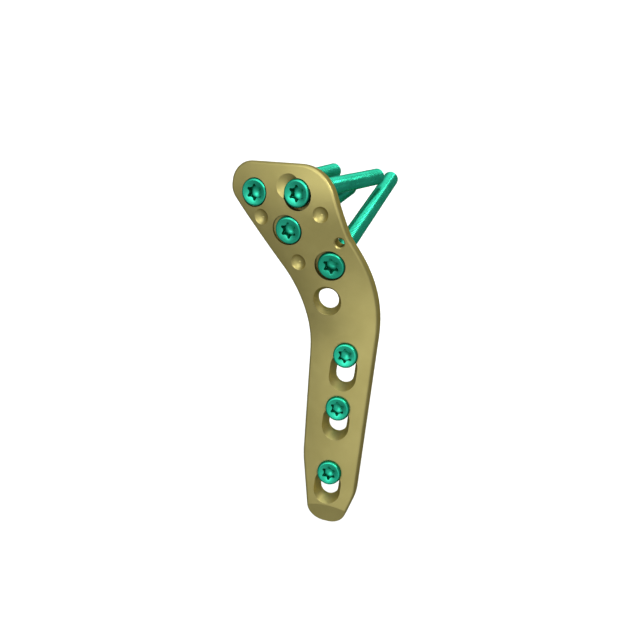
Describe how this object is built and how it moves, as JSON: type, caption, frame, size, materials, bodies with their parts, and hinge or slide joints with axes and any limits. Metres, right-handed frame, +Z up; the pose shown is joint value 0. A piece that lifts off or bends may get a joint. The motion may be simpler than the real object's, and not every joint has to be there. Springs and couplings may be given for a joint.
{
  "type": "orthopedic bone plate",
  "caption": "Contoured orthopedic locking plate: S-bent, turned head, straight shaft with combination holes, and angled locking screws with star sockets.",
  "frame": {"origin": "on the axis of the open neck hole, where its straight bore begins", "axes": "+Z up along the straight shaft towards the head, +X towards the front edge of the plate, +Y from the outer face inwards"},
  "size_m": [0.0456, 0.0724, 0.0987],
  "materials": {
    "plate": "gold-anodised titanium, satin",
    "screw": "green-anodised titanium, semi-gloss"
  },
  "bodies": {
    "root": {"plate": "plate", "head_screw_rear": "screw", "head_screw_front": "screw", "head_screw_middle": "screw", "neck_screw": "screw", "shaft_screw_upper": "screw", "shaft_screw_middle": "screw", "shaft_screw_lower": "screw"}
  },
  "joints": []
}
